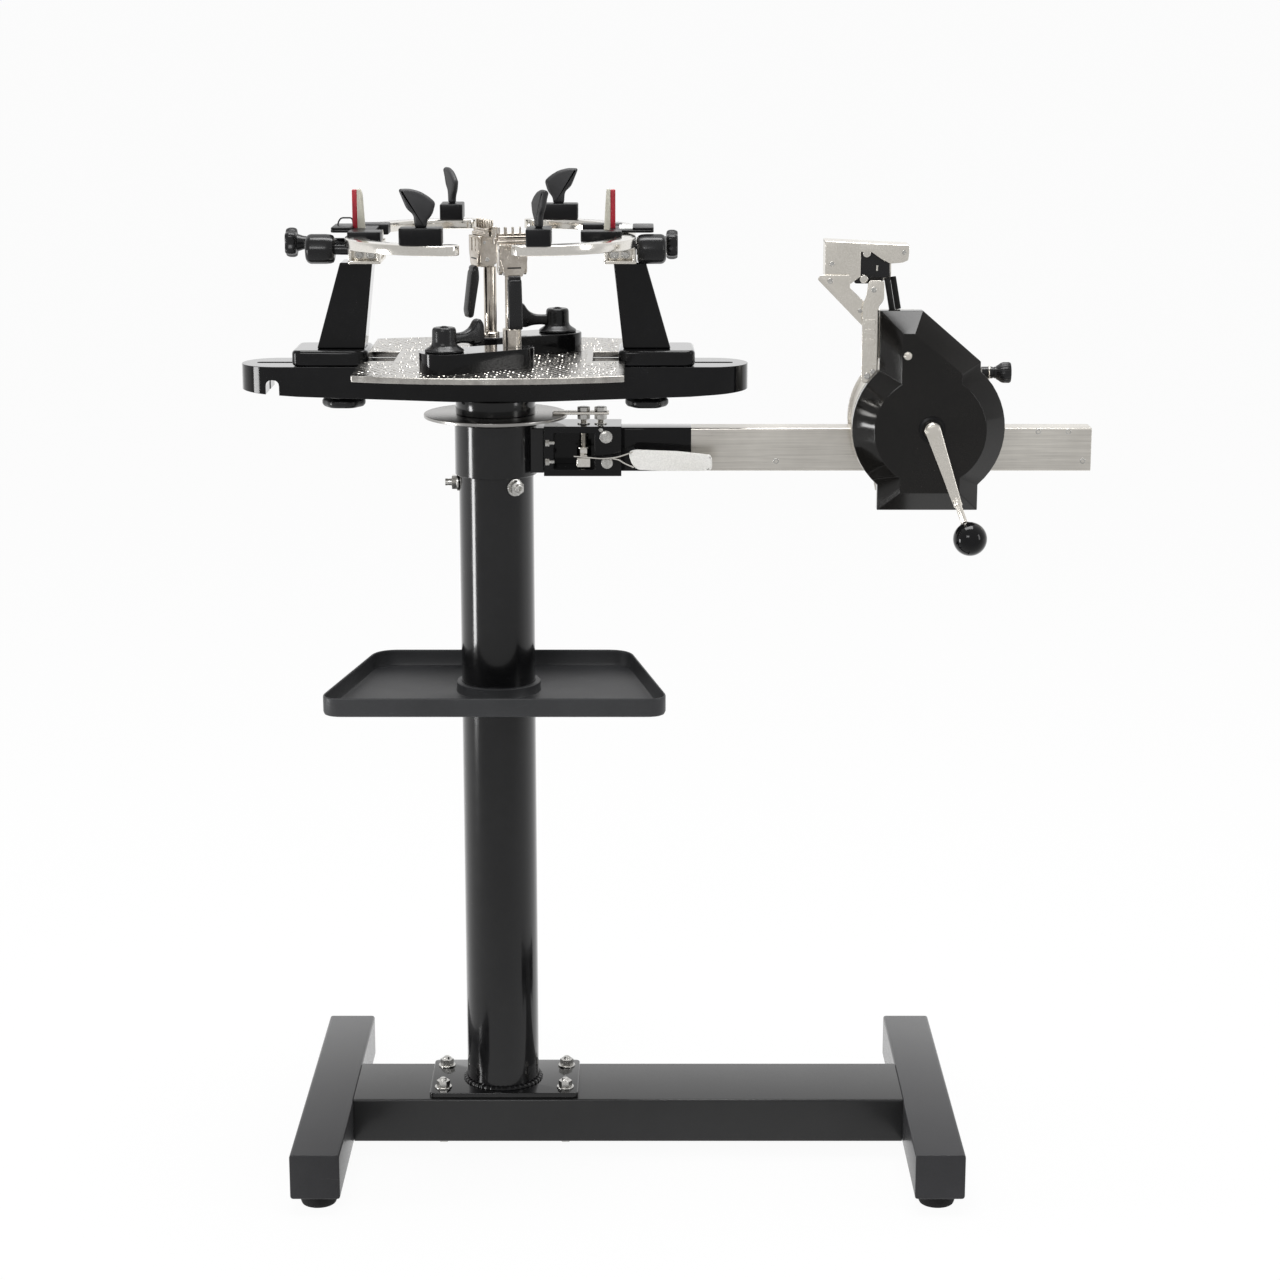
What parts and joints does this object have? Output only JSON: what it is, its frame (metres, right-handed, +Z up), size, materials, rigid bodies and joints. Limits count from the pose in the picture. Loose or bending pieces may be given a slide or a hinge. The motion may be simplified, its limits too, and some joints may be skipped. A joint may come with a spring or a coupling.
{
  "type": "racket stringing machine",
  "caption": "Stand-mounted racket stringing machine with a braked turntable, six-point racket supports, string clamps and a crank tensioner on a rail.",
  "frame": {"origin": "on the floor, under the middle of the machine; the post stands 182.5 mm towards -X from it", "axes": "+X along the tension rail away from the post, -Y towards the stringer, +Z up"},
  "size_m": [0.901, 0.41, 1.0753],
  "materials": {
    "powder_coat": "dark grey satin powder coat",
    "gloss_black": "gloss black stove enamel",
    "steel": "brushed steel",
    "nickel": "satin nickel plate",
    "rubber": "matte black rubber",
    "plastic": "black moulded plastic",
    "soft_grip": "dark grey soft moulded plastic",
    "ivory": "ivory plastic"
  },
  "bodies": {
    "stand": {"foot_bar_left": "powder_coat", "foot_bar_right": "powder_coat", "cross_beam": "powder_coat", "tray": "powder_coat", "post": "gloss_black", "post_collar": "gloss_black", "spindle": "steel", "arm_bracket": "gloss_black", "rail": "steel", "brake_caliper": "nickel", "brake_screw": "nickel", "rubber_foot_left_front": "rubber", "rubber_foot_left_back": "rubber", "rubber_foot_right_front": "rubber", "rubber_foot_right_back": "rubber"},
    "brake_handle": {"brake_lever": "nickel"},
    "turntable": {"hub": "gloss_black", "brake_disc": "steel", "turntable_bar": "gloss_black", "clamp_plate": "steel"},
    "tension_carriage": {"carriage": "steel", "tension_cover": "gloss_black", "gripper_post": "nickel", "gripper_head": "nickel"},
    "crank": {"crank_arm": "nickel", "crank_ball": "plastic"},
    "tension_dial": {"tension_knob": "plastic"},
    "string_jaw": {"gripper_jaw": "plastic"},
    "support_left": {"support_base_left": "gloss_black", "support_tower_left": "gloss_black", "support_head_left": "nickel", "centre_stop_left": "ivory"},
    "lock_left": {"lock_knob_left": "plastic"},
    "side_screw_left": {"side_knob_left": "plastic"},
    "arm_screw_left": {"star_knob_left": "plastic"},
    "arm_front_left": {"side_arm_front_left": "nickel"},
    "hook_front_left": {"frame_hook_front_left": "soft_grip"},
    "arm_back_left": {"side_arm_back_left": "nickel"},
    "hook_back_left": {"frame_hook_back_left": "soft_grip"},
    "support_right": {"support_base_right": "gloss_black", "support_tower_right": "gloss_black", "support_head_right": "nickel", "centre_stop_right": "ivory"},
    "lock_right": {"lock_knob_right": "plastic"},
    "side_screw_right": {"side_knob_right": "plastic"},
    "arm_screw_right": {"star_knob_right": "plastic"},
    "arm_front_right": {"side_arm_front_right": "nickel"},
    "hook_front_right": {"frame_hook_front_right": "soft_grip"},
    "arm_back_right": {"side_arm_back_right": "nickel"},
    "hook_back_right": {"frame_hook_back_right": "soft_grip"},
    "clamp_foot_front": {"clamp_base_front": "gloss_black"},
    "clamp_lock_front": {"cam_lever_front": "plastic"},
    "clamp_tower_front": {"clamp_post_front": "nickel", "clamp_head_front": "nickel"},
    "clamp_handle_front": {"clamp_lever_front": "plastic"},
    "clamp_foot_back": {"clamp_base_back": "gloss_black"},
    "clamp_lock_back": {"cam_lever_back": "plastic"},
    "clamp_tower_back": {"clamp_post_back": "nickel", "clamp_head_back": "nickel"},
    "clamp_handle_back": {"clamp_lever_back": "plastic"}
  },
  "joints": [
    {"name": "turntable_spin", "type": "hinge", "parent": "stand", "child": "turntable", "pos_m": [-0.1825, 0, 0.827], "axis": [0, 0, 1], "continuous": true},
    {"name": "brake_handle_swing", "type": "hinge", "parent": "stand", "child": "brake_handle", "pos_m": [-0.0885, -0.019, 0.787], "axis": [0, 0, -1], "range_deg": [-5, 50]},
    {"name": "carriage_slide", "type": "slide", "parent": "stand", "child": "tension_carriage", "axis": [1, 0, 0], "range_m": [-0.06, 0.08]},
    {"name": "crank_turn", "type": "hinge", "parent": "tension_carriage", "child": "crank", "pos_m": [0.2745, -0.08, 0.821], "axis": [0, 1, 0], "range_deg": [-540, 720]},
    {"name": "tension_dial_turn", "type": "hinge", "parent": "tension_carriage", "child": "tension_dial", "pos_m": [0.3475, -0.028, 0.874], "axis": [1, 0, 0], "continuous": true},
    {"name": "string_jaw_close", "type": "slide", "parent": "tension_carriage", "child": "string_jaw", "axis": [0, 1, 0], "range_m": [0, 0.003]},
    {"name": "support_slide_left", "type": "slide", "parent": "turntable", "child": "support_left", "axis": [-1, 0, 0], "range_m": [0, 0.045]},
    {"name": "lock_knob_turn_left", "type": "hinge", "parent": "support_left", "child": "lock_left", "pos_m": [-0.3435, 0, 0.84], "axis": [0, 0, 1], "continuous": true},
    {"name": "side_knob_turn_left", "type": "hinge", "parent": "support_left", "child": "side_screw_left", "pos_m": [-0.3475, -0.027, 1.003], "axis": [1, 0, 0], "continuous": true},
    {"name": "star_knob_turn_left", "type": "hinge", "parent": "support_left", "child": "arm_screw_left", "pos_m": [-0.3625, 0.022, 1.004], "axis": [-1, 0, 0], "range_deg": [0, 360]},
    {"name": "arm_close_front_left", "type": "hinge", "parent": "support_left", "child": "arm_front_left", "pos_m": [-0.3125, -0.02, 1.014], "axis": [0, 0, 1], "range_deg": [0, 10]},
    {"name": "hook_swivel_front_left", "type": "hinge", "parent": "arm_front_left", "child": "hook_front_left", "pos_m": [-0.2466, -0.15497, 1.03], "axis": [0, 0, 1], "range_deg": [-30, 30]},
    {"name": "arm_close_back_left", "type": "hinge", "parent": "support_left", "child": "arm_back_left", "pos_m": [-0.3125, 0.02, 1.014], "axis": [0, 0, -1], "range_deg": [0, 10]},
    {"name": "hook_swivel_back_left", "type": "hinge", "parent": "arm_back_left", "child": "hook_back_left", "pos_m": [-0.23574, 0.15702, 1.03], "axis": [0, 0, 1], "range_deg": [-30, 30]},
    {"name": "support_slide_right", "type": "slide", "parent": "turntable", "child": "support_right", "axis": [1, 0, 0], "range_m": [0, 0.045]},
    {"name": "lock_knob_turn_right", "type": "hinge", "parent": "support_right", "child": "lock_right", "pos_m": [-0.0215, 0, 0.84], "axis": [0, 0, 1], "continuous": true},
    {"name": "side_knob_turn_right", "type": "hinge", "parent": "support_right", "child": "side_screw_right", "pos_m": [-0.0175, -0.027, 1.003], "axis": [1, 0, 0], "continuous": true},
    {"name": "star_knob_turn_right", "type": "hinge", "parent": "support_right", "child": "arm_screw_right", "pos_m": [-0.0025, 0.022, 1.004], "axis": [1, 0, 0], "range_deg": [0, 360]},
    {"name": "arm_close_front_right", "type": "hinge", "parent": "support_right", "child": "arm_front_right", "pos_m": [-0.0525, -0.02, 1.014], "axis": [0, 0, -1], "range_deg": [0, 10]},
    {"name": "hook_swivel_front_right", "type": "hinge", "parent": "arm_front_right", "child": "hook_front_right", "pos_m": [-0.12926, -0.15702, 1.03], "axis": [0, 0, 1], "range_deg": [-30, 30]},
    {"name": "arm_close_back_right", "type": "hinge", "parent": "support_right", "child": "arm_back_right", "pos_m": [-0.0525, 0.02, 1.014], "axis": [0, 0, 1], "range_deg": [0, 10]},
    {"name": "hook_swivel_back_right", "type": "hinge", "parent": "arm_back_right", "child": "hook_back_right", "pos_m": [-0.1184, 0.15497, 1.03], "axis": [0, 0, 1], "range_deg": [-30, 30]},
    {"name": "clamp_slide_front", "type": "slide", "parent": "turntable", "child": "clamp_foot_front", "axis": [1, 0, 0], "range_m": [-0.03, 0.04]},
    {"name": "cam_lever_turn_front", "type": "hinge", "parent": "clamp_foot_front", "child": "clamp_lock_front", "pos_m": [-0.2275, -0.11994, 0.91], "axis": [0, 0, 1], "range_deg": [0, 100]},
    {"name": "clamp_swivel_front", "type": "hinge", "parent": "clamp_foot_front", "child": "clamp_tower_front", "pos_m": [-0.1605, -0.08, 0.91], "axis": [0, 0, 1], "continuous": true},
    {"name": "clamp_lever_open_front", "type": "hinge", "parent": "clamp_tower_front", "child": "clamp_handle_front", "pos_m": [-0.15634, -0.09956, 0.986], "axis": [-0.9781, -0.2079, 0], "range_deg": [0, 60]},
    {"name": "clamp_slide_back", "type": "slide", "parent": "turntable", "child": "clamp_foot_back", "axis": [1, 0, 0], "range_m": [-0.04, 0.03]},
    {"name": "cam_lever_turn_back", "type": "hinge", "parent": "clamp_foot_back", "child": "clamp_lock_back", "pos_m": [-0.11739, 0.04919, 0.91], "axis": [0, 0, 1], "range_deg": [0, 100]},
    {"name": "clamp_swivel_back", "type": "hinge", "parent": "clamp_foot_back", "child": "clamp_tower_back", "pos_m": [-0.1875, 0.015, 0.91], "axis": [0, 0, 1], "continuous": true},
    {"name": "clamp_lever_open_back", "type": "hinge", "parent": "clamp_tower_back", "child": "clamp_handle_back", "pos_m": [-0.20563, 0.00655, 0.986], "axis": [-0.4226, 0.9063, 0], "range_deg": [0, 60]}
  ],
  "couplings": [
    {"joint": "crank_turn", "follows": "carriage_slide", "rad_per_m": 157.08},
    {"joint": "arm_close_back_left", "follows": "arm_close_front_left", "ratio": 1},
    {"joint": "star_knob_turn_left", "follows": "arm_close_front_left", "ratio": 36},
    {"joint": "arm_close_back_right", "follows": "arm_close_front_right", "ratio": 1},
    {"joint": "star_knob_turn_right", "follows": "arm_close_front_right", "ratio": 36}
  ]
}
